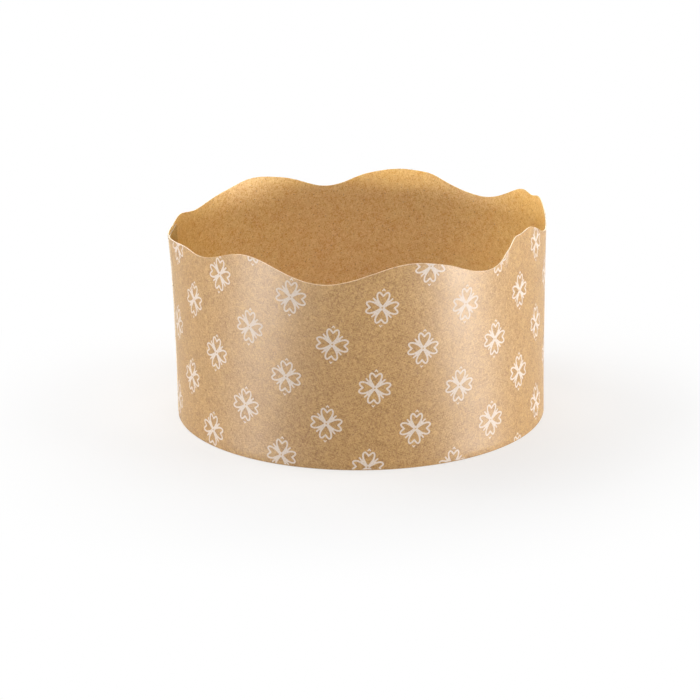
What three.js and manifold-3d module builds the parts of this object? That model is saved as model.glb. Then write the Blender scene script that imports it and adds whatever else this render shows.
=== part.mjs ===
// A round paper baking mould. One strip of printed kraft paper with a scalloped upper edge is
// rolled to a ring and lapped, its toothed hem is turned in flat, and a round base lies on the hem.
import * as THREE from "three";
import { ParametricGeometry } from "three/addons/geometries/ParametricGeometry.js";
import { mergeVertices } from "three/addons/utils/BufferGeometryUtils.js";
import Module from "manifold-3d";

const wasm = await Module();
wasm.setup();

// Driving dimensions in millimetres. Angles are in degrees, measured round the mould from its
// front, which faces -Y, towards +X.
const paper = 0.35; // one layer of the wall's kraft paper
const footRadius = 67; // outside of the wall where it stands
const mouthRadius = 67.7; // outside of the wall at its rim, before its soft lobes
const wallHeight = 69.7; // foot to the middle of the scallops
const leanRight = 0.55; // how far the mouth's middle stands off the foot's, towards +X
const leanBack = 2.15; // and towards +Y
const foldRound = 0.15; // rounding of the outside edge where the hem turns in

const scallops = 7; // waves round the whole rim
const scallopHeight = 6.9; // trough to crest
const firstCrest = 14.4; // where the crest nearest the front stands
const crestsToLap = 2; // the crest over the lap, counted to the left, which is cut away

const lapStart = -100; // the strip's inner end
const lapEnd = -86; // the edge of the strip's outer end
const glueGrip = 0.1; // how far the two glued layers press into each other
const tailDrop = 1.2; // how much lower the strip's inner end is cut

const teeth = 28; // tabs of the turned-in hem
const hemDepth = 9; // how far the tabs reach in from the wall's outside
const notchAtFold = 0.7; // gap between two tabs at the fold
const notchAtTip = 1.9; // gap between two tabs at their tips

const baseThickness = 0.5;
const baseClearance = 0.35; // between the base's edge and the lapped wall
const ventRadius = 1.5;
const ventRings = 2; // rings of steam holes round the middle one
const ventsInFirstRing = 6; // each further ring has as many more
const ventSpacing = 19; // between one ring of holes and the next

// The open mouth isn't kept round by the base, and the paper stands in soft lobes there:
// how many lobes, how far they stand out, and where the first one is.
const mouthLobes = [
  { count: 2, rise: 1.8, at: -43 },
  { count: 3, rise: 2.7, at: 8.4 },
];

// The doubled paper at the edge of the lap springs outwards, more steeply towards the rim.
const lapFlare = { at: -86, spread: 9, rise: 1.7, steepness: 4 };

// Places where the rim's edge stands higher or lower than its even scallops, from handling.
const rimMarks = [
  { at: -180, spread: 5.5, rise: 0.7 },
  { at: -157, spread: 9, rise: 2.3 },
  { at: -133, spread: 7, rise: -1.2 },
  { at: -105, spread: 6.5, rise: 1.7 },
  { at: -67, spread: 10, rise: 1.5 },
  { at: -47, spread: 11, rise: -0.9 },
  { at: 28, spread: 5, rise: 0.5 },
  { at: 46, spread: 7, rise: -1.2 },
  { at: 57, spread: 3.5, rise: 1.6 },
  { at: 70, spread: 6, rise: 0.5 },
  { at: 117, spread: 4.5, rise: -2.3 },
  { at: 135, spread: 11, rise: -2.4 },
  { at: 157, spread: 4.5, rise: 0.9 },
  { at: 175, spread: 11, rise: -0.8 },
];

// How finely the paper's curves are stepped.
const wallSteps = scallops * 24;
const wallRows = 4;
const tailSteps = 8;
const toothArcSteps = 4;
const discSteps = 112;
const ventSteps = 12;
const mergeGap = 1e-4; // corners closer than this are one

const paperRoughness = 0.8;
const wallColour = 0xc9a174;
const baseColour = 0xb98f60;

const radians = THREE.MathUtils.degToRad;
const halfScallop = 180 / scallops;

// The shorter way round from one angle to another, in degrees.
function turnBetween(from, to) {
  return THREE.MathUtils.euclideanModulo(to - from + 180, 360) - 180;
}

// Height of the rim's edge at an angle. The scallop over the lap is cut straight at trough height.
function rimHeight(angle) {
  const lapCrest = firstCrest - (crestsToLap * 360) / scallops;
  const overLap = Math.abs(turnBetween(lapCrest, angle)) < halfScallop;
  const wave = overLap ? -1 : Math.cos(radians(scallops * (angle - firstCrest)));
  return rimMarks.reduce(
    (height, mark) => height + mark.rise * bump(turnBetween(mark.at, angle) / mark.spread),
    wallHeight + (scallopHeight / 2) * wave,
  );
}

// A soft bump of height 1 that has died away at about twice its spread.
function bump(offset) {
  return Math.exp(-offset * offset);
}

// Outside radius of the wall at an angle and a height.
function wallRadius(angle, height) {
  const share = height / wallHeight;
  const lobes = mouthLobes.reduce(
    (sum, lobe) => sum + lobe.rise * Math.cos(radians(lobe.count * (angle - lobe.at))),
    mouthRadius - footRadius,
  );
  const nearLap = bump(turnBetween(lapFlare.at, angle) / lapFlare.spread);
  const flare = lapFlare.rise * nearLap * share ** lapFlare.steepness;
  return footRadius + lobes * share + flare;
}

// A point of the paper: depth is measured inwards from the wall's outside face.
function paperPoint(angle, height, depth, target) {
  const radius = wallRadius(angle, height) - depth;
  const lean = height / wallHeight;
  const right = radius * Math.sin(radians(angle)) + leanRight * lean;
  const back = leanBack * lean - radius * Math.cos(radians(angle));
  return target.set(right, back, height);
}

// A closed three.js geometry as a solid that can be joined and cut.
function solidFrom(geometry) {
  const bare = geometry.clone();
  bare.deleteAttribute("normal");
  bare.deleteAttribute("uv");
  const merged = mergeVertices(bare, mergeGap);
  const triVerts = withoutSlivers(merged.index.array);
  return new wasm.Manifold(
    new wasm.Mesh({ numProp: 3, vertProperties: merged.attributes.position.array, triVerts }),
  );
}

// The triangles whose three corners are still apart once shared corners are merged.
function withoutSlivers(index) {
  const kept = [];
  for (let i = 0; i < index.length; i += 3) {
    const [a, b, c] = index.slice(i, i + 3);
    if (a !== b && b !== c && c !== a) kept.push(a, b, c);
  }
  return new Uint32Array(kept);
}

// A named mesh of a solid, with its paper's colour.
function meshOf(name, solid, colour) {
  const mesh = solid.getMesh();
  const geometry = new THREE.BufferGeometry();
  geometry.setAttribute("position", new THREE.BufferAttribute(mesh.vertProperties, 3));
  geometry.setIndex(new THREE.BufferAttribute(mesh.triVerts, 1));
  geometry.computeVertexNormals();
  const material = new THREE.MeshStandardMaterial({ color: colour, roughness: paperRoughness });
  const made = new THREE.Mesh(geometry, material);
  made.name = name;
  return made;
}

// The paper's section, walked up the outside, over the rim and down the inside.
function sectionStations() {
  const shares = Array.from({ length: wallRows + 1 }, (_, row) => row / wallRows);
  return [
    { share: 0, lift: 0, depth: foldRound },
    ...shares.map((share) => ({ share, lift: foldRound, depth: 0 })),
    ...shares.reverse().map((share) => ({ share, lift: 0, depth: paper })),
  ];
}

// The wall: the paper's section carried once round the mould.
function wallRing() {
  const stations = sectionStations();
  const around = (u, v, target) => {
    const angle = 360 * u;
    const station = stations[Math.round(v * stations.length) % stations.length];
    const start = station.lift;
    const height = start + station.share * (rimHeight(angle) - start);
    paperPoint(angle, height, station.depth, target);
  };
  return solidFrom(new ParametricGeometry(around, wallSteps, stations.length));
}

// The strip's inner end, glued against the inside of the wall.
function lapTail() {
  const flat = new THREE.BoxGeometry(1, 1, 1, tailSteps, wallRows, 1);
  const corners = flat.attributes.position;
  const spot = new THREE.Vector3();
  for (let i = 0; i < corners.count; i++) {
    spot.fromBufferAttribute(corners, i).addScalar(0.5);
    const angle = lapStart + spot.x * (lapEnd - lapStart);
    const height = spot.y * (rimHeight(angle) - tailDrop);
    const depth = THREE.MathUtils.lerp(2 * paper - glueGrip, paper - glueGrip, spot.z);
    paperPoint(angle, height, depth, spot);
    corners.setXYZ(i, spot.x, spot.y, spot.z);
  }
  return solidFrom(flat);
}

// One tab of the hem, lying flat at the foot and narrowing inwards.
function hemTooth(place) {
  const rootRadius = footRadius - (foldRound + paper) / 2;
  const tipRadius = footRadius - hemDepth;
  const pitch = (2 * Math.PI) / teeth;
  const rootHalf = pitch / 2 - notchAtFold / 2 / rootRadius;
  const tipHalf = pitch / 2 - notchAtTip / 2 / tipRadius;
  const middle = place * pitch;
  const outline = new THREE.Shape();
  outline.absarc(0, 0, rootRadius, middle - rootHalf, middle + rootHalf, false);
  outline.absarc(0, 0, tipRadius, middle + tipHalf, middle - tipHalf, true);
  outline.closePath();
  const flat = { depth: paper, bevelEnabled: false, curveSegments: toothArcSteps };
  return solidFrom(new THREE.ExtrudeGeometry(outline, flat));
}

// The wall with its lap and its turned-in hem, as one piece of paper.
function sideWall() {
  let wall = wallRing().add(lapTail());
  for (let place = 0; place < teeth; place++) wall = wall.add(hemTooth(place));
  return meshOf("side_wall", wall, wallColour);
}

// Centres of the steam holes: one in the middle and rings of six, twelve and so on round it.
function ventCentres() {
  const centres = [new THREE.Vector2(0, 0)];
  for (let ring = 1; ring <= ventRings; ring++) {
    const holes = ventsInFirstRing * ring;
    for (let hole = 0; hole < holes; hole++) {
      const turn = (2 * Math.PI * hole) / holes;
      const centre = new THREE.Vector2(Math.cos(turn), Math.sin(turn));
      centres.push(centre.multiplyScalar(ring * ventSpacing));
    }
  }
  return centres;
}

// The round base that lies on the hem inside the wall.
function baseDisc() {
  const radius = footRadius - 2 * paper - baseClearance;
  const edge = new THREE.Path().absarc(0, 0, radius, 0, 2 * Math.PI, false);
  const outline = new THREE.Shape(edge.getSpacedPoints(discSteps));
  for (const centre of ventCentres()) {
    const vent = new THREE.Path().absarc(centre.x, centre.y, ventRadius, 0, 2 * Math.PI, true);
    outline.holes.push(new THREE.Path(vent.getSpacedPoints(ventSteps)));
  }
  const flat = { depth: baseThickness, bevelEnabled: false };
  const disc = solidFrom(new THREE.ExtrudeGeometry(outline, flat));
  const mesh = meshOf("base_disc", disc, baseColour);
  mesh.position.z = paper;
  return mesh;
}

const group = new THREE.Group();
group.add(sideWall(), baseDisc());

export default group;
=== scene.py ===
"""A scalloped paper baking mold: its wall, its printed clovers, its base and a plain studio."""

import itertools
import logging
import math
from dataclasses import dataclass
from enum import Enum
from typing import Any

import bmesh
import bpy
import numpy as np
from mathutils import Matrix, Vector, noise


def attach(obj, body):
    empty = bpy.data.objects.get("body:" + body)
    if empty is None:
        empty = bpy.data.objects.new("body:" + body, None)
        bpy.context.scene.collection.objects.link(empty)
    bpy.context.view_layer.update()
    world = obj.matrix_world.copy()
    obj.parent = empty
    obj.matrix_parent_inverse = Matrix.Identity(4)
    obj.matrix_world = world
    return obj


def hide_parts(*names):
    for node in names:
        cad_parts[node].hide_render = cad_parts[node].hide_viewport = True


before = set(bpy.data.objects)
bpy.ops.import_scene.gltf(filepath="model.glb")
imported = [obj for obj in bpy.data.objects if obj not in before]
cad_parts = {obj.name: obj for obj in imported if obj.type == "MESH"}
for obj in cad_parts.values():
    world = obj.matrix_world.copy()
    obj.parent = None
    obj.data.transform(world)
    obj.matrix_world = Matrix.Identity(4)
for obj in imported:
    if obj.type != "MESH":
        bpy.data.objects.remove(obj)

MM = 0.001
WHITE = (1.0, 1.0, 1.0, 1.0)
STRIP_MAP = "strip"
SHARP_ANGLE = 50
Rgba = tuple[float, float, float, float]
Spot = tuple[float, float]
log = logging.getLogger("baking_mold")


def paint(red: float, green: float, blue: float) -> Rgba:
    """Turns a screen colour into the linear one that a shader's socket holds, by the sRGB curve.

    Args:
        red: The red part, from 0 to 255.
        green: The green part, from 0 to 255.
        blue: The blue part, from 0 to 255.

    Returns:
        The linear colour with a full alpha.
    """
    parts = [value / 255 for value in (red, green, blue)]
    linear = [v / 12.92 if v <= 0.04045 else ((v + 0.055) / 1.055) ** 2.4 for v in parts]
    return (linear[0], linear[1], linear[2], 1.0)


def turn_between(start: float, end: float) -> float:
    """The turn from one angle to another, from -180 to 180 degrees."""
    return (end - start + 540) % 360 - 180


def eased(share: float) -> float:
    """A share of a way, held between 0 and 1 and softened at both ends."""
    share = min(1.0, max(0.0, share))
    return share * share * (3 - 2 * share)


class Shade:
    """A value on its way through a material's nodes, which operators extend with Math nodes."""

    def __init__(self, recipe: "Recipe", socket: bpy.types.NodeSocket) -> None:
        """Keeps the material's recipe and the socket that gives the value."""
        self.recipe = recipe
        self.socket = socket

    def maths(self, operation: str, first: Any, second: Any) -> "Shade":
        """The result of one Math node."""
        return self.recipe.node("Math", {"operation": operation}, {0: first, 1: second})

    def __add__(self, other: Any) -> "Shade":
        """This value plus another."""
        return self.maths("ADD", self, other)

    __radd__ = __add__

    def __mul__(self, other: Any) -> "Shade":
        """This value times another."""
        return self.maths("MULTIPLY", self, other)

    __rmul__ = __mul__

    def __sub__(self, other: Any) -> "Shade":
        """This value less another."""
        return self.maths("SUBTRACT", self, other)

    def __rsub__(self, other: Any) -> "Shade":
        """Another value less this one."""
        return self.maths("SUBTRACT", other, self)

    def between(self, low: float, high: float) -> "Shade":
        """This value stretched so that low gives 0 and high gives 1, and held between them."""
        ends = {"Value": self, "From Min": low, "From Max": high}
        return self.recipe.node("MapRange", {"interpolation_type": "SMOOTHSTEP"}, ends)


class Recipe:
    """The node tree of one material or world, emptied and filled by its finish."""

    def __init__(self, owner: bpy.types.ID) -> None:
        """Empties the owner's node tree.

        Args:
            owner: The material or the world.
        """
        owner.use_nodes = True
        self.tree = owner.node_tree
        self.tree.nodes.clear()

    def node(
        self, kind: str, settings: dict[str, Any], inputs: dict[Any, Any], output: Any = 0
    ) -> Shade:
        """Adds one node of any type.

        Args:
            kind: The node's type without its ShaderNode prefix.
            settings: The node's properties, which are set first.
            inputs: Values or links for its sockets, by name or number.
            output: The name or number of the socket that is wanted.

        Returns:
            The wanted output.
        """
        made = self.tree.nodes.new("ShaderNode" + kind)
        for name, value in settings.items():
            setattr(made, name, value)
        for name, value in inputs.items():
            if isinstance(value, Shade):
                self.tree.links.new(value.socket, made.inputs[name])
            else:
                made.inputs[name].default_value = value
        return Shade(self, made.outputs[output])

    def mix(self, share: Any, first: Any, second: Any) -> Shade:
        """A colour part of the way from the first to the second."""
        return self.node("Mix", {"data_type": "RGBA"}, {0: share, 6: first, 7: second}, 2)

    def cells(self, where: Shade, length: float, width: float, turn: float = 0.0) -> Shade:
        """Counts a place in the cells of a pattern instead of in metres.

        Args:
            where: The place, in metres.
            length: The length of a cell, in metres.
            width: The width of a cell, in metres.
            turn: The direction of its length, in degrees.

        Returns:
            The place, in cells.
        """
        spin = (0.0, 0.0, math.radians(turn))
        ends = {"Vector": where, "Rotation": spin, "Scale": (length, width, 1.0)}
        return self.node("Mapping", {"vector_type": "TEXTURE"}, ends)

    def noise(
        self, where: Shade, detail: float, roughness: float = 0.5, curl: float = 0.0
    ) -> Shade:
        """Soft noise over a sheet, one unit to a cell.

        Args:
            where: The place, in cells.
            detail: How many finer noises are added.
            roughness: How strong each finer noise is.
            curl: How far the noise bends its own lines.

        Returns:
            The noise, from 0 to 1.
        """
        ends = {"Vector": where, "Scale": 1.0, "Detail": detail, "Roughness": roughness}
        ends["Distortion"] = curl
        return self.node("TexNoise", {"noise_dimensions": "2D"}, ends)

    def finish(self, surface: Shade, kind: str = "OutputMaterial") -> None:
        """Ends the tree with its output node."""
        end = self.tree.nodes.new("ShaderNode" + kind)
        self.tree.links.new(surface.socket, end.inputs["Surface"])


class Grain(Enum):
    """What a paper's fibres follow."""

    STRIP = "the length of the rolled strip"
    FLAT = "the plane of a flat sheet"


@dataclass(frozen=True)
class Kraft:
    """Unbleached baking paper: warm tan, with fibres, cloudy patches, flecks and a soft gloss."""

    name: str
    pale: Rgba
    deep: Rgba
    roughness: float = 0.42
    gloss: float = 0.5
    grain: Grain = Grain.STRIP
    seep: float = 0.6
    seep_depth: float = 1.6 * MM
    fibre_length: float = 2.2 * MM
    fibre_width: float = 0.38 * MM
    pale_fibres: Spot = (18.0, 112.0)
    dark_fibres: Spot = (67.0, 155.0)
    fibre_range: Spot = (0.56, 0.68)
    curl: float = 0.8
    cloud: float = 7.0 * MM
    fine: float = 0.5 * MM
    patch_range: Spot = (0.30, 0.70)
    patch_roughness: float = 0.6
    fleck: float = 0.8 * MM
    fleck_range: Spot = (0.80, 0.86)
    fleck_share: float = 0.5
    fleck_colour: Rgba = paint(112, 72, 40)
    plain_tone: float = 0.34
    cloud_tone: float = 0.12
    fine_tone: float = 0.22
    fibre_tone: float = 0.34
    relief: float = 0.03 * MM
    relief_strength: float = 0.35
    uneven_gloss: float = 0.08

    def fibres(self, recipe: Recipe, sheet: Shade, turns: Spot) -> Shade:
        """Thin fibres that lie along two directions of the sheet.

        Args:
            recipe: The material's nodes.
            sheet: Where a point is on the sheet, in metres.
            turns: The two directions of the fibres, in degrees.

        Returns:
            1 on a fibre, 2 where two cross and 0 beside them.
        """
        layers = []
        for turn in turns:
            along = recipe.cells(sheet, self.fibre_length, self.fibre_width, turn)
            layers.append(recipe.noise(along, 0.0, curl=self.curl).between(*self.fibre_range))
        return layers[0] + layers[1]

    def patches(self, recipe: Recipe, sheet: Shade, size: float, detail: float) -> Shade:
        """Cloudy patches of one size."""
        where = recipe.cells(sheet, size, size)
        return recipe.noise(where, detail, self.patch_roughness)

    def make(self) -> bpy.types.Material:
        """Builds the material.

        Returns:
            The new material.
        """
        material = bpy.data.materials.new(self.name)
        recipe = Recipe(material)
        if self.grain is Grain.STRIP:
            sheet = recipe.node("UVMap", {"uv_map": STRIP_MAP}, {})
        else:
            sheet = recipe.node("TexCoord", {}, {}, "Object")
        clouds = self.patches(recipe, sheet, self.cloud, 3.0).between(*self.patch_range)
        pale = self.fibres(recipe, sheet, self.pale_fibres)
        dark = self.fibres(recipe, sheet, self.dark_fibres)
        fine = self.patches(recipe, sheet, self.fine, 2.0).between(*self.patch_range)
        flecks = self.patches(recipe, sheet, self.fleck, 0.0).between(*self.fleck_range)
        patchy = self.cloud_tone * clouds + self.fine_tone * fine
        tone = patchy + self.fibre_tone * (pale - dark) + self.plain_tone
        body = recipe.mix(tone, self.deep, self.pale)
        body = recipe.mix(self.fleck_share * flecks, body, self.fleck_colour)
        ends = {
            "Strength": self.relief_strength,
            "Distance": self.relief,
            "Height": 0.5 * (pale - dark + fine),
        }
        bumps = recipe.node("Bump", {}, ends)
        ends = {
            "Base Color": body,
            "Roughness": self.roughness + self.uneven_gloss * (fine - 0.5),
            "Specular IOR Level": self.gloss,
            "Subsurface Weight": self.seep,
            "Subsurface Radius": (1.0, 1.0, 1.0),
            "Subsurface Scale": self.seep_depth,
            "Normal": bumps,
        }
        recipe.finish(recipe.node("BsdfPrincipled", {}, ends))
        return material


@dataclass(frozen=True)
class Ink:
    """Pale printing ink that lies a little thin over the fibres of the paper."""

    name: str = "pale_ink"
    full: Rgba = paint(198, 186, 176)
    thin: Rgba = paint(187, 170, 153)
    roughness: float = 0.55
    gloss: float = 0.35
    mottle: float = 0.45 * MM
    cover_range: Spot = (0.30, 0.62)
    uneven_gloss: float = 0.1

    def make(self) -> bpy.types.Material:
        """Builds the material.

        Returns:
            The new material.
        """
        material = bpy.data.materials.new(self.name)
        recipe = Recipe(material)
        sheet = recipe.node("UVMap", {"uv_map": STRIP_MAP}, {})
        where = recipe.cells(sheet, self.mottle, self.mottle)
        cover = recipe.noise(where, 2.0).between(*self.cover_range)
        ends = {
            "Base Color": recipe.mix(cover, self.thin, self.full),
            "Roughness": self.roughness + self.uneven_gloss * (0.5 - cover),
            "Specular IOR Level": self.gloss,
        }
        recipe.finish(recipe.node("BsdfPrincipled", {}, ends))
        return material


@dataclass(frozen=True)
class RimMark:
    """One place where the cut rim departs from its wave: an angle, a spread and a rise."""

    at: float
    spread: float
    rise: float


@dataclass(frozen=True)
class Lobe:
    """One way in which the mouth departs from round."""

    count: int
    rise: float
    at: float


RIM_MARKS = (
    RimMark(-180, 5.5, 0.7 * MM),
    RimMark(-157, 9, 2.3 * MM),
    RimMark(-133, 7, -1.2 * MM),
    RimMark(-105, 6.5, 1.7 * MM),
    RimMark(-67, 10, 1.5 * MM),
    RimMark(-47, 11, -0.9 * MM),
    RimMark(28, 5, 0.5 * MM),
    RimMark(46, 7, -1.2 * MM),
    RimMark(57, 3.5, 1.6 * MM),
    RimMark(70, 6, 0.5 * MM),
    RimMark(117, 4.5, -2.3 * MM),
    RimMark(135, 11, -2.4 * MM),
    RimMark(157, 4.5, 0.9 * MM),
    RimMark(175, 11, -0.8 * MM),
)
MOUTH_LOBES = (Lobe(2, 1.8 * MM, -43), Lobe(3, 2.7 * MM, 8.4))


@dataclass(frozen=True)
class PaperForm:
    """The shape that the rolled strip takes. Angles are in degrees from the front to the right."""

    paper: float = 0.35 * MM
    foot_radius: float = 67 * MM
    mouth_radius: float = 67.7 * MM
    wall_height: float = 69.7 * MM
    lean_right: float = 0.55 * MM
    lean_back: float = 2.15 * MM
    scallops: int = 7
    scallop_height: float = 6.9 * MM
    first_crest: float = 14.4
    crests_to_lap: int = 2
    flare_at: float = -86.0
    flare_spread: float = 9.0
    flare_rise: float = 1.7 * MM
    flare_steepness: float = 4.0
    skin: float = 0.07 * MM
    give: float = 0.16 * MM
    lap_end: float = -85.82
    lap_gap: float = 0.02 * MM
    lap_run_out: float = 4.0
    slow_waves: float = 2.6
    slow_share: float = 0.4
    fast_waves: float = 8.0
    fast_share: float = 0.2
    still_height: float = 9 * MM
    crease_at: float = 51.0
    crease_width: float = 2.1
    crease_drop: float = 1.2 * MM
    crease_height: float = 2.2 * MM
    crease_depth: float = 0.5 * MM
    crease_slant: float = 0.6
    crease_sharpness: float = 3.0

    def rim_height(self, angle: float) -> float:
        """The height of the cut rim.

        Args:
            angle: The angle round the mold, in degrees.

        Returns:
            The height above the foot, in metres.
        """
        half_scallop = 180 / self.scallops
        lap_crest = self.first_crest - self.crests_to_lap * 2 * half_scallop
        if abs(turn_between(lap_crest, angle)) < half_scallop:
            wave = -1.0
        else:
            wave = math.cos(math.radians(self.scallops * (angle - self.first_crest)))
        height = self.wall_height + self.scallop_height / 2 * wave
        for mark in RIM_MARKS:
            height += mark.rise * math.exp(-((turn_between(mark.at, angle) / mark.spread) ** 2))
        return height

    def radius(self, angle: float, height: float) -> float:
        """The radius of the paper's outer face before the lean.

        Args:
            angle: The angle round the mold, in degrees.
            height: The height above the foot, in metres.

        Returns:
            The radius, in metres.
        """
        share = height / self.wall_height
        lobes = self.mouth_radius - self.foot_radius
        for lobe in MOUTH_LOBES:
            lobes += lobe.rise * math.cos(math.radians(lobe.count * (angle - lobe.at)))
        near_lap = math.exp(-((turn_between(self.flare_at, angle) / self.flare_spread) ** 2))
        flare = self.flare_rise * near_lap * share**self.flare_steepness
        return self.foot_radius + lobes * share + flare

    def point(self, angle: float, height: float, depth: float = 0.0) -> Vector:
        """A point of the rolled paper.

        Args:
            angle: The angle round the mold, in degrees.
            height: The height above the foot, in metres.
            depth: How far the point lies inside the outer face, in metres.

        Returns:
            The point.
        """
        radius = self.radius(angle, height) - depth
        lean = height / self.wall_height
        turn = math.radians(angle)
        across = radius * math.sin(turn) + self.lean_right * lean
        back = self.lean_back * lean - radius * math.cos(turn)
        return Vector((across, back, height))

    def sag(self, angle: float, height: float) -> float:
        """How far the uneven paper lies inside its ideal outer face.

        Args:
            angle: The angle round the mold, in degrees.
            height: The height above the foot, in metres.

        Returns:
            The depth, in metres, which is never negative.
        """
        turn = math.radians(angle)
        spot = Vector((math.sin(turn), -math.cos(turn), height / self.foot_radius))
        slow = self.slow_share * noise.noise(spot * self.slow_waves)
        fast = self.fast_share * noise.noise(spot * self.fast_waves)
        soft = 0.5 + slow + fast
        fade = eased(height / self.still_height)
        depth = self.skin + self.give * min(1.0, max(0.0, soft)) * fade
        return depth + self.crease(angle, height)

    def crease(self, angle: float, height: float) -> float:
        """The small pressed crease under the rim at the front right.

        Args:
            angle: The angle round the mold, in degrees.
            height: The height above the foot, in metres.

        Returns:
            The crease's depth, in metres.
        """
        away = turn_between(self.crease_at, angle) / self.crease_width
        below_rim = self.rim_height(angle) - height
        down = (below_rim - self.crease_drop) / self.crease_height
        slant = away + self.crease_slant * down
        return self.crease_depth * math.exp(-(slant**2) * self.crease_sharpness - down**2)

    def lap_depth(self, angle: float) -> float:
        """How far the strip is tucked in under its own outer end."""
        out = eased((angle - self.lap_end) / self.lap_run_out)
        return (self.paper + self.lap_gap) * (1 - out)

    def face(self, angle: float, height: float, lift: float = 0.0) -> Vector:
        """A point on or just over the paper's real outer face."""
        depth = self.sag(angle, height) + self.lap_depth(angle) - lift
        return self.point(angle, height, depth)


@dataclass
class StripRuler:
    """Turns a length along the rolled strip into an angle and back."""

    form: PaperForm
    first: float = -101.0
    last: float = 276.0
    step: float = 0.25
    level: float = 0.6

    def __post_init__(self) -> None:
        """Measures the strip once along its outer face."""
        count = round((self.last - self.first) / self.step)
        self.angles = np.linspace(self.first, self.last, count + 1)
        height = self.level * self.form.wall_height
        spots = np.array([self.form.point(angle, height) for angle in self.angles])
        steps = np.linalg.norm(np.diff(spots, axis=0), axis=1)
        self.lengths = np.concatenate([[0.0], np.cumsum(steps)])
        self.lengths -= np.interp(0.0, self.angles, self.lengths)

    def length_at(self, angle: float) -> float:
        """The length along the strip at an angle, counted from the front."""
        return float(np.interp(angle, self.angles, self.lengths))

    def angle_at(self, length: float) -> float:
        """The angle at a length along the strip."""
        return float(np.interp(length, self.lengths, self.angles))


def stand(
    name: str, shape: bmesh.types.BMesh, slots: list[bpy.types.Material]
) -> bpy.types.Object:
    """Makes a scene object of a finished bmesh.

    Args:
        name: The piece's name.
        shape: The bmesh, which is freed.
        slots: The piece's materials, in order.

    Returns:
        The new object.
    """
    mesh = bpy.data.meshes.new(name)
    shape.to_mesh(mesh)
    shape.free()
    for material in slots:
        mesh.materials.append(material)
    piece = bpy.data.objects.new(name, mesh)
    bpy.context.scene.collection.objects.link(piece)
    return piece


def thicken(piece: bpy.types.Object, thickness: float, offset: float, sides: int) -> None:
    """Gives a sheet its thickness and keeps the result as the piece's mesh.

    Args:
        piece: The sheet.
        thickness: The thickness, in metres.
        offset: -1 to grow inwards and 1 to grow outwards.
        sides: 1 if the inner face and the cut edge have materials of their own, or 0.
    """
    wall = piece.modifiers.new("thickness", "SOLIDIFY")
    wall.thickness = thickness
    wall.offset = offset
    wall.use_even_offset = True
    wall.material_offset = sides
    wall.material_offset_rim = 2 * sides
    graph = bpy.context.evaluated_depsgraph_get()
    mesh = bpy.data.meshes.new_from_object(piece.evaluated_get(graph))
    piece.modifiers.clear()
    piece.data = mesh
    mesh.shade_smooth()
    mesh.set_sharp_from_angle(angle=math.radians(SHARP_ANGLE))


def report(piece: bpy.types.Object) -> None:
    """Logs one finished piece.

    Args:
        piece: The piece, whose triangles are counted.
    """
    mesh = piece.data
    mesh.calc_loop_triangles()
    log.info("%s: %d triangles", piece.name, len(mesh.loop_triangles))


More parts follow.
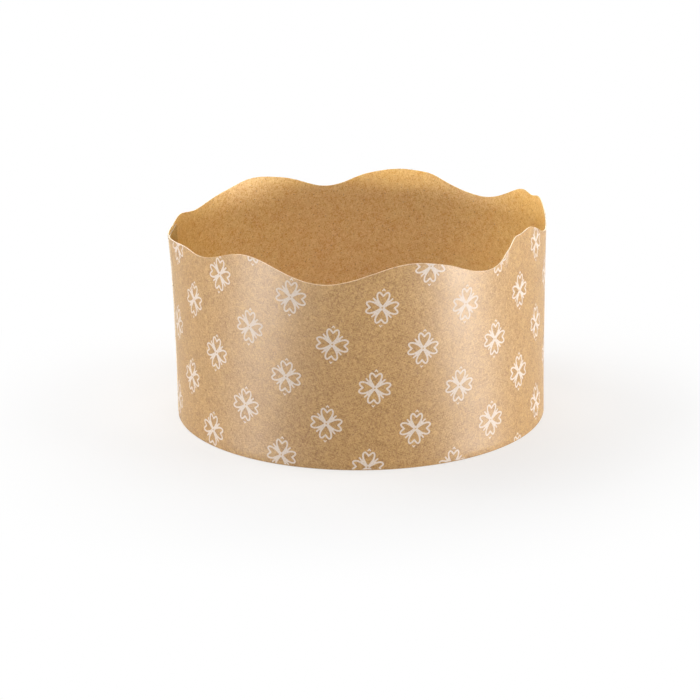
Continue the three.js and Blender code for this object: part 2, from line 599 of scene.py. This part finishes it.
@dataclass
class SideWall:
    """The printed strip: a scalloped wall, a lapped seam and a toothed hem folded in below."""

    form: PaperForm
    ruler: StripRuler
    columns_a_turn: int = 560
    lap_columns: int = 22
    columns_a_tooth: int = 20
    first_column: float = -155.5
    hem_rows: int = 3
    fold_rows: int = 4
    wall_rows: int = 40
    fold_radius: float = 0.4 * MM
    hem_depth: float = 9.0 * MM
    tip_squeeze: float = 0.899
    tail_drop: float = 1.2 * MM
    tail_clearance: float = 0.15 * MM
    row_spread: float = 0.92
    trim: float = 0.06 * MM
    ragged: float = 0.025 * MM
    rag_pace: float = 0.9
    rag_row: float = 3.0

    def angle_of(self, column: float) -> float:
        """The angle of a column of the grid."""
        return (self.first_column + column) * 360 / self.columns_a_turn

    def top_of(self, column: int) -> float:
        """The rim's height at a column, with the small unevenness of a cut.

        Args:
            column: The column, from the tucked tail to the outer end.

        Returns:
            The height above the foot, in metres.
        """
        angle = self.angle_of(column)
        rag = noise.noise(Vector((angle * self.rag_pace, self.rag_row, 0.0)))
        height = self.form.rim_height(angle) - (self.trim + self.ragged * rag)
        return height - self.tail_drop if column < self.lap_columns else height

    def place(self, column: int, row: int) -> tuple[Vector, Spot]:
        """Where a point of the grid goes.

        Args:
            column: The column, from the tucked tail to the outer end.
            row: The row, from the hem's tip to the rim.

        Returns:
            The point, and its place on the flat strip.
        """
        angle = self.angle_of(column)
        along = self.ruler.length_at(angle)
        skin = self.form.skin
        fold = self.fold_radius
        wall_row = row - self.hem_rows - self.fold_rows
        if wall_row >= 0:
            share = wall_row / self.wall_rows
            low = fold + self.tail_clearance if column < self.lap_columns else fold
            height = low + (self.top_of(column) - low) * share**self.row_spread
            return self.form.face(angle, height), (along, height)
        tuck = self.form.lap_depth(angle)
        if row >= self.hem_rows:
            turn = math.radians(90 * (row - self.hem_rows) / self.fold_rows)
            depth = fold * (1 - math.sin(turn))
            height = fold * (1 - math.cos(turn))
            spot = self.form.point(angle, height, depth + skin + tuck)
            return spot, (along, height - depth)
        share = 1 - row / self.hem_rows
        depth = fold + (self.hem_depth - fold) * share
        tooth = self.columns_a_tooth * 360 / self.columns_a_turn
        centre = round(angle / tooth) * tooth
        squeezed = centre + (angle - centre) * (1 + (self.tip_squeeze - 1) * share)
        return self.form.point(squeezed, 0.0, depth + skin), (along, -depth)

    def is_cut_away(self, column: int, row: int) -> bool:
        """Whether a face of the grid is a notch of the hem or belongs under the tail.

        Args:
            column: The face's column.
            row: The face's row.

        Returns:
            True where the paper is cut away.
        """
        if column < self.lap_columns:
            return row < self.hem_rows + self.fold_rows
        tooth_column = (column - math.floor(-self.first_column)) % self.columns_a_tooth
        return row < self.hem_rows and tooth_column == self.columns_a_tooth // 2

    def build(self, slots: list[bpy.types.Material]) -> bpy.types.Object:
        """Builds the strip from one flat grid, rolls it and gives it its thickness.

        Args:
            slots: The materials of the outer face, the inner face and the cut edge.

        Returns:
            The finished piece.
        """
        columns = self.columns_a_turn + self.lap_columns
        rows = self.hem_rows + self.fold_rows + self.wall_rows
        shape = bmesh.new()
        bmesh.ops.create_grid(shape, x_segments=columns, y_segments=rows, size=0.5)
        strip = shape.loops.layers.uv.new(STRIP_MAP)
        cells = {}
        spots = {}
        for vert in shape.verts:
            cells[vert] = (round((vert.co.x + 0.5) * columns), round((vert.co.y + 0.5) * rows))
        gone = []
        for face in shape.faces:
            column = min(cells[vert][0] for vert in face.verts)
            row = min(cells[vert][1] for vert in face.verts)
            if self.is_cut_away(column, row):
                gone.append(face)
        for vert, cell in cells.items():
            vert.co, spots[vert] = self.place(*cell)
        for face in shape.faces:
            for loop in face.loops:
                loop[strip].uv = spots[loop.vert]
        bmesh.ops.delete(shape, geom=gone, context="FACES")
        bmesh.ops.recalc_face_normals(shape, faces=shape.faces)
        middle = max(shape.faces, key=lambda face: face.calc_center_median().y)
        if middle.normal.y < 0:
            bmesh.ops.reverse_faces(shape, faces=shape.faces)
        piece = stand("paper_side_wall", shape, slots)
        thicken(piece, self.form.paper, -1.0, 1)
        return piece


def bend(start: Spot, first: Spot, second: Spot, end: Spot, count: int) -> list[Spot]:
    """Points along one smooth bend, without its first.

    Args:
        start: Where the bend starts.
        first: The first handle.
        second: The second handle.
        end: Where the bend ends.
        count: How many points are wanted.

    Returns:
        The points, of which the last is the end.
    """
    points = []
    for step in range(1, count + 1):
        t = step / count
        weights = ((1 - t) ** 3, 3 * t * (1 - t) ** 2, 3 * t * t * (1 - t), t**3)
        knots = (start, first, second, end)
        x = sum(w * knot[0] for w, knot in zip(weights, knots))
        y = sum(w * knot[1] for w, knot in zip(weights, knots))
        points.append((x, y))
    return points


@dataclass(frozen=True)
class Clover:
    """One printed four-leaf clover, drawn flat in units of its own, its first leaf upwards."""

    unit: float = 0.9 * MM
    half_line: float = 0.33
    half_dash: float = 0.31
    dash_end: float = 5.05
    wedge_end: float = 3.55
    eye: float = 0.30
    outer_notch: Spot = (0.0, 5.3)
    inner_notch: Spot = (0.0, 4.2)
    inner_tip: Spot = (0.0, 0.93)
    axis_gap: float = 0.02
    wedge_overlap: float = 0.1
    dash_steps: int = 4
    eye_steps: int = 12
    peak: tuple[Spot, ...] = (
        (0.75, 6.75), (0.0, 7.6), (-0.75, 6.75), (-0.5, 6.4), (0.0, 6.95), (0.5, 6.4)
    )
    dip: tuple[Spot, ...] = (
        (0.74, -6.8), (0.0, -7.7), (-0.74, -6.8), (-0.42, -6.72), (0.0, -7.05), (0.42, -6.72)
    )

    def centreline(self) -> list[Spot]:
        """Draws the middle of the line round the right half of a leaf.

        Returns:
            Its points, from the leaf's tip to its notch.
        """
        points = [(0.0, 0.05)]
        points += bend(points[0], (0.5, 1.1), (2.3, 3.0), (2.3, 4.75), 9)
        points += bend(points[-1], (2.3, 5.5), (1.95, 5.95), (1.6, 5.95), 4)
        points += bend(points[-1], (1.1, 5.95), (0.5, 5.2), (0.0, 4.5), 5)
        return points

    def beside(self, side: float) -> list[Spot]:
        """The line's outer or inner edge.

        Args:
            side: 1 for the outer edge and -1 for the inner.

        Returns:
            The edge's points, from near the leaf's tip to near its notch.
        """
        line = self.centreline()
        points = []
        for before, here, after in zip(line, line[1:], line[2:]):
            run = Vector((after[0] - before[0], after[1] - before[1])).normalized()
            reach = side * self.half_line
            points.append((here[0] + run.y * reach, here[1] - run.x * reach))
        return points

    def leaf_hole(self) -> list[Spot]:
        """Draws the bare paper inside the first leaf.

        Returns:
            The points of one closed line.
        """
        right = [spot for spot in self.beside(-1.0) if spot[0] > self.axis_gap]
        left = [(-x, y) for x, y in reversed(right)]
        return [self.inner_tip, *right, self.inner_notch, *left]

    def outline(self) -> list[Spot]:
        """Draws the outer edge of the four leaves and of the dashes between them.

        Returns:
            The points of one closed line.
        """
        diagonal = Vector((1.0, 1.0)).normalized()
        beside = Vector((-1.0, 1.0)).normalized()
        leaf = [spot for spot in self.beside(1.0) if Vector(spot).dot(diagonal) > self.wedge_end]
        leaf = [spot for spot in leaf if spot[0] > self.axis_gap]
        side = [diagonal * (self.wedge_end + self.wedge_overlap) + beside * self.half_dash]
        for step in range(self.dash_steps + 1):
            turn = math.radians(90 * step / self.dash_steps)
            reach = self.dash_end + self.half_dash * math.sin(turn)
            side.append(diagonal * reach + beside * (self.half_dash * math.cos(turn)))
        half = [self.outer_notch, *reversed(leaf), *[(spot.x, spot.y) for spot in side]]
        mirrored = [(y, x) for x, y in reversed(half[1:-1])]
        quarter = half + mirrored
        return [spot for turned in self.four_times(quarter) for spot in turned]

    def four_times(self, line: list[Spot]) -> list[list[Spot]]:
        """Turns a line of the first leaf to each of the four leaves in turn.

        Args:
            line: The points of the line.

        Returns:
            The four lines.
        """
        spins = [Matrix.Rotation(math.radians(-90 * turn), 2) for turn in range(4)]
        return [[tuple(spin @ Vector(spot)) for spot in line] for spin in spins]

    def loops(self) -> list[list[Spot]]:
        """Draws every closed line: the outline, the leaf holes, the eye and two small marks.

        Returns:
            The points of each line.
        """
        circle = [math.radians(360 * step / self.eye_steps) for step in range(self.eye_steps)]
        eye = [(self.eye * math.cos(turn), self.eye * math.sin(turn)) for turn in circle]
        holes = self.four_times(self.leaf_hole())
        return [self.outline(), *holes, eye, list(self.peak), list(self.dip)]


@dataclass
class CloverPrint:
    """The rows of clovers that are printed on the strip before it is rolled."""

    form: PaperForm
    ruler: StripRuler
    clover: Clover = Clover()
    across: float = 31.51 * MM
    down: float = 28.71 * MM
    tilt: float = 4.566
    first_along: float = -24.55 * MM
    first_height: float = 60.98 * MM
    reach: float = 8.2 * MM
    lift: float = 0.012 * MM
    film: float = 0.03 * MM
    strip_step: float = 1.5 * MM
    level_step: float = 4.0 * MM
    levels: int = 2
    bottom: float = 0.45 * MM
    rim_gap: float = 0.05 * MM
    rim_zone: float = 6 * MM
    half_rows: range = range(-3, 10)
    half_columns: range = range(-14, 26)
    touch: float = 1e-7

    def centres(self) -> list[Spot]:
        """The middles of all the clovers that touch the visible strip.

        Returns:
            Lengths along the strip and heights.
        """
        turn = math.radians(self.tilt)
        start = self.ruler.length_at(self.form.lap_end)
        end = self.ruler.length_at(self.form.lap_end + 360)
        top = self.form.wall_height + self.form.scallop_height
        found = []
        for row, column in itertools.product(self.half_rows, self.half_columns):
            if (row + column) % 2:
                continue
            right = column / 2 * self.across
            up = -row / 2 * self.down
            along = self.first_along + right * math.cos(turn) + up * math.sin(turn)
            height = self.first_height - right * math.sin(turn) + up * math.cos(turn)
            inside = start - self.reach < along < end + self.reach
            if inside and -self.reach < height < top + self.reach:
                found.append((along, height))
        return found

    def draw(self, shape: bmesh.types.BMesh, centre: Spot) -> list[bmesh.types.BMFace]:
        """Fills one flat clover on the unrolled strip.

        Args:
            shape: The bmesh that holds the print.
            centre: The clover's place along and up the strip.

        Returns:
            The new faces.
        """
        spin = Matrix.Rotation(-math.radians(self.tilt), 2)
        edges = []
        for loop in self.clover.loops():
            spots = [spin @ (Vector(spot) * self.clover.unit) + Vector(centre) for spot in loop]
            verts = [shape.verts.new((spot.x, spot.y, 0.0)) for spot in spots]
            edges += [shape.edges.new(pair) for pair in zip(verts, verts[1:] + verts[:1])]
        filled = bmesh.ops.triangle_fill(
            shape, use_beauty=True, use_dissolve=False, edges=edges, normal=(0, 0, 1)
        )
        return [item for item in filled["geom"] if isinstance(item, bmesh.types.BMFace)]

    def cut(
        self,
        shape: bmesh.types.BMesh,
        spot: Spot,
        normal: Spot,
        faces: list[bmesh.types.BMFace] | None = None,
    ) -> None:
        """Cuts faces of a clover along one line.

        Args:
            shape: The bmesh that holds one flat clover.
            spot: A place on the line.
            normal: The direction across the line.
            faces: The faces that are cut, or all of them.
        """
        chosen = shape.faces[:] if faces is None else faces
        edges = dict.fromkeys(edge for face in chosen for edge in face.edges)
        verts = dict.fromkeys(vert for face in chosen for vert in face.verts)
        geom = [*verts, *edges, *chosen]
        bmesh.ops.bisect_plane(
            shape, geom=geom, dist=self.touch, plane_co=(*spot, 0), plane_no=(*normal, 0)
        )

    def trim(self, shape: bmesh.types.BMesh, centre: Spot) -> None:
        """Cuts a clover into narrow strips that can bend, and takes off what the paper lacks.

        Args:
            shape: The bmesh that holds one flat clover.
            centre: The clover's place along and up the strip.
        """
        along, height = centre
        ends = [self.ruler.length_at(self.form.lap_end + turn) for turn in (0, 360)]
        near_rim = height + self.reach > self.form.wall_height - self.rim_zone
        step = self.strip_step / 2 if near_rim else self.strip_step
        count = math.ceil(self.reach / step)
        lines = [along + step * number for number in range(-count, count + 1)]
        for line in lines + ends:
            if abs(line - along) < self.reach:
                self.cut(shape, (line, 0.0), (1.0, 0.0))
        for number in range(-self.levels, self.levels + 1):
            self.cut(shape, (0.0, height + number * self.level_step), (0.0, 1.0))
        self.cut(shape, (0.0, self.bottom), (0.0, 1.0))
        if near_rim:
            self.cut_rim(shape, lines)
        gone = [face for face in shape.faces if self.is_off(face.calc_center_median(), ends)]
        bmesh.ops.delete(shape, geom=gone, context="FACES")

    def cut_rim(self, shape: bmesh.types.BMesh, lines: list[float]) -> None:
        """Cuts a clover along the scalloped rim, one narrow strip at a time.

        Args:
            shape: The bmesh that holds one flat clover.
            lines: The lengths along the strip between which each cut is straight.
        """
        for start, end in zip(lines, lines[1:]):
            low = self.rim(start)
            high = self.rim(end)
            faces = [f for f in shape.faces if start < f.calc_center_median().x < end]
            if faces:
                self.cut(shape, (start, low), (low - high, end - start), faces)

    def rim(self, along: float) -> float:
        """The height at which the print ends under the rim."""
        return self.form.rim_height(self.ruler.angle_at(along)) - self.rim_gap

    def is_off(self, spot: Vector, ends: list[float]) -> bool:
        """Whether a place on the flat strip is past its rim, its foot or its ends."""
        past_end = not ends[0] < spot.x < ends[1]
        return past_end or spot.y < self.bottom or spot.y > self.rim(spot.x)

    def build(self, ink: bpy.types.Material) -> bpy.types.Object:
        """Draws all the clovers, lays them on the wall and gives the ink its film.

        Args:
            ink: The ink's material.

        Returns:
            The finished piece.
        """
        whole = bmesh.new()
        loose = bpy.data.meshes.new("one_clover")
        for centre in self.centres():
            shape = bmesh.new()
            faces = self.draw(shape, centre)
            if faces:
                self.trim(shape, centre)
            if shape.faces:
                shape.to_mesh(loose)
                whole.from_mesh(loose)
            shape.free()
        bpy.data.meshes.remove(loose)
        strip = whole.loops.layers.uv.new(STRIP_MAP)
        for face in whole.faces:
            for loop in face.loops:
                loop[strip].uv = (loop.vert.co.x, loop.vert.co.y)
        bmesh.ops.recalc_face_normals(whole, faces=whole.faces)
        upside_down = [face for face in whole.faces if face.normal.z < 0]
        bmesh.ops.reverse_faces(whole, faces=upside_down)
        for vert in whole.verts:
            angle = self.ruler.angle_at(vert.co.x)
            vert.co = self.form.face(angle, vert.co.y, self.lift)
        piece = stand("print_clovers", whole, [ink])
        thicken(piece, self.film, 1.0, 0)
        return piece


@dataclass(frozen=True)
class PhotoCamera:
    """The camera in the photograph's place."""

    distance: float = 948.1 * MM
    elevation: float = 17.33
    lens_pixels: float = 2611.5
    picture: float = 700.0
    sensor: float = 36.0
    target_height: float = 34.83 * MM
    target_pixel: Spot = (360.6, 315.5)
    roll: float = -0.0057
    nearest: float = 0.05
    farthest: float = 50.0

    def build(self) -> bpy.types.Object:
        """Makes the camera and gives it to the scene.

        Returns:
            The camera.
        """
        data = bpy.data.cameras.new("photo_camera")
        data.sensor_width = self.sensor
        data.lens = self.lens_pixels * self.sensor / self.picture
        data.clip_start = self.nearest
        data.clip_end = self.farthest
        camera = bpy.data.objects.new("photo_camera", data)
        bpy.context.scene.collection.objects.link(camera)
        tip = math.radians(self.elevation)
        half = self.picture / 2
        yaw = math.atan((self.target_pixel[0] - half) / self.lens_pixels)
        pitch = math.atan((self.target_pixel[1] - half) / self.lens_pixels)
        ahead = Vector((0, math.cos(tip), -math.sin(tip)))
        right = Vector((1, 0, 0))
        up = Vector((0, math.sin(tip), math.cos(tip)))
        turned = ahead * math.cos(yaw) - right * math.sin(yaw)
        right = right * math.cos(yaw) + ahead * math.sin(yaw)
        ahead = turned * math.cos(pitch) + up * math.sin(pitch)
        up = up * math.cos(pitch) - turned * math.sin(pitch)
        rolled_right = right * math.cos(self.roll) + up * math.sin(self.roll)
        rolled_up = up * math.cos(self.roll) - right * math.sin(self.roll)
        turn = Matrix((rolled_right, rolled_up, -ahead)).transposed()
        back = Vector((0, -math.cos(tip), math.sin(tip))) * self.distance
        place = Vector((0, 0, self.target_height)) + back
        camera.matrix_world = Matrix.Translation(place) @ turn.to_4x4()
        bpy.context.scene.camera = camera
        return camera


@dataclass(frozen=True)
class Lamp:
    """One soft lamp that faces the mold."""

    name: str
    azimuth: float
    elevation: float
    distance: float
    width: float
    height: float
    watts: float

    def build(self, aim: Vector) -> bpy.types.Object:
        """Makes the lamp.

        Args:
            aim: The point that the lamp faces.

        Returns:
            The lamp.
        """
        data = bpy.data.lights.new(self.name, "AREA")
        data.shape = "RECTANGLE"
        data.size = self.width
        data.size_y = self.height
        data.energy = self.watts
        lamp = bpy.data.objects.new(self.name, data)
        bpy.context.scene.collection.objects.link(lamp)
        turn = math.radians(self.azimuth)
        rise = math.radians(self.elevation)
        across = math.sin(turn) * math.cos(rise)
        back = -math.cos(turn) * math.cos(rise)
        away = Vector((across, back, math.sin(rise)))
        facing = away.to_track_quat("Z", "Y").to_matrix().to_4x4()
        lamp.matrix_world = Matrix.Translation(aim + away * self.distance) @ facing
        lamp.visible_camera = False
        return lamp


LAMPS = (
    Lamp("left_low", -64, 1.4, 1.40, 0.40, 0.13, 16.5),
    Lamp("right_low", 70, 1.4, 1.40, 0.40, 0.13, 24.0),
    Lamp("left_high", -90, 45, 0.85, 0.40, 0.40, 1.9),
    Lamp("left_back", -120, 45, 0.85, 0.40, 0.40, 1.8),
    Lamp("right_high", 90, 45, 0.85, 0.40, 0.40, 1.9),
    Lamp("back_low", 180, 15, 0.60, 0.50, 0.24, 2.6),
    Lamp("top_box", 0, 75, 1.00, 0.50, 0.50, 2.4),
)


@dataclass
class Studio:
    """A plain pale floor, a white surround, soft lamps and the camera."""

    floor_size: float = 6.0
    floor_drop: float = 0.05 * MM
    floor_tone: float = 0.92
    near_glow: float = 0.60
    glow_start: float = 0.07
    glow_end: float = 0.17
    ambient: float = 0.0
    aim_height: float = 35 * MM

    def seen_plainly(self, recipe: Recipe) -> Shade:
        """Picks out the rays by which a surface is seen: straight, in a gloss or through glass.

        Args:
            recipe: The nodes of the floor or the surround.

        Returns:
            1 for those rays and 0 for the rest.
        """
        straight = recipe.node("LightPath", {}, {}, "Is Camera Ray")
        outputs = straight.socket.node.outputs
        gloss = Shade(recipe, outputs["Is Glossy Ray"])
        through = Shade(recipe, outputs["Is Transmission Ray"])
        return (straight + gloss + through).between(0.0, 1.0)

    def floor(self) -> bpy.types.Object:
        """Makes the floor, which shows the mold's shadow close by and is white farther off.

        Returns:
            The floor.
        """
        shape = bmesh.new()
        bmesh.ops.create_grid(shape, x_segments=1, y_segments=1, size=self.floor_size / 2)
        material = bpy.data.materials.new("pale_floor")
        recipe = Recipe(material)
        tone = (self.floor_tone, self.floor_tone, self.floor_tone, 1.0)
        matt = recipe.node("BsdfDiffuse", {}, {"Color": tone})
        white = recipe.node("Emission", {}, {"Color": WHITE, "Strength": 1.0})
        spot = recipe.node("TexCoord", {}, {}, "Object")
        away = recipe.node("VectorMath", {"operation": "LENGTH"}, {0: spot}, "Value")
        spread = away.between(self.glow_start, self.glow_end) * (1 - self.near_glow)
        share = self.seen_plainly(recipe) * (spread + self.near_glow)
        recipe.finish(recipe.node("MixShader", {}, {0: share, 1: matt, 2: white}))
        bmesh.ops.translate(shape, verts=shape.verts, vec=(0.0, 0.0, -self.floor_drop))
        floor = stand("floor", shape, [material])
        return floor

    def surround(self) -> None:
        """Makes the world white to the eye, while the mold itself is lit by the lamps alone."""
        world = bpy.data.worlds.new("surround")
        bpy.context.scene.world = world
        recipe = Recipe(world)
        soft = recipe.node("Background", {}, {"Color": WHITE, "Strength": self.ambient})
        white = recipe.node("Background", {}, {"Color": WHITE, "Strength": 1.0})
        share = self.seen_plainly(recipe)
        surface = recipe.node("MixShader", {}, {0: share, 1: soft, 2: white})
        recipe.finish(surface, "OutputWorld")

    def build(self) -> None:
        """Sets up the floor, the surround, the lamps and the camera."""
        self.floor()
        self.surround()
        for lamp in LAMPS:
            lamp.build(Vector((0.0, 0.0, self.aim_height)))
        PhotoCamera().build()
        bpy.context.scene.view_settings.view_transform = "Standard"


OUTSIDE = Kraft("kraft_outside", paint(175, 138, 77), paint(128, 87, 16), 0.42, 1.0)
# Painted light: the inner face is the same kraft as the outside, painted paler and warmer to stand
# in for the light that comes through the thin wall and bounces round inside.
INSIDE_PAINTED_LIGHT = Kraft("kraft_inside_painted_light", paint(221, 185, 120), paint(189, 138, 52), 0.45, 0.5)
# The cut edge is painted near white: partly the paler cut fibres of the paper, partly a painted
# highlight for the bright line along the rim that the low lamps don't give.
CUT_EDGE_AND_HIGHLIGHT = Kraft("kraft_cut_edge_and_painted_highlight", paint(255, 238, 210), paint(240, 208, 168), 0.7, 0.3)
BASE = Kraft("kraft_base", paint(206, 166, 106), paint(170, 120, 54), grain=Grain.FLAT, seep=0.0)


@dataclass
class BakingMold:
    """The whole mold: the paper strip, its print and its base."""

    body: str = "root"

    def keep(self, piece: bpy.types.Object) -> None:
        """Puts a piece on the mold's body.

        Args:
            piece: The piece.
        """
        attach(piece, self.body)
        report(piece)

    def build(self) -> None:
        """Builds each piece in order."""
        form = PaperForm()
        ruler = StripRuler(form)
        papers = [finish.make() for finish in (OUTSIDE, INSIDE_PAINTED_LIGHT, CUT_EDGE_AND_HIGHLIGHT)]
        wall = SideWall(form, ruler).build(papers)
        self.keep(wall)
        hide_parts("side_wall")
        clovers = CloverPrint(form, ruler).build(Ink().make())
        self.keep(clovers)
        clovers.visible_shadow = False
        clovers.visible_diffuse = False
        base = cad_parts["base_disc"]
        base.data.materials.clear()
        base.data.materials.append(BASE.make())
        report(base)


def main() -> None:
    """Builds the mold and its studio."""
    logging.basicConfig(level=logging.INFO, format="%(name)s: %(message)s")
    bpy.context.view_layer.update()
    BakingMold().build()
    Studio().build()


if __name__ == "__main__":
    main()
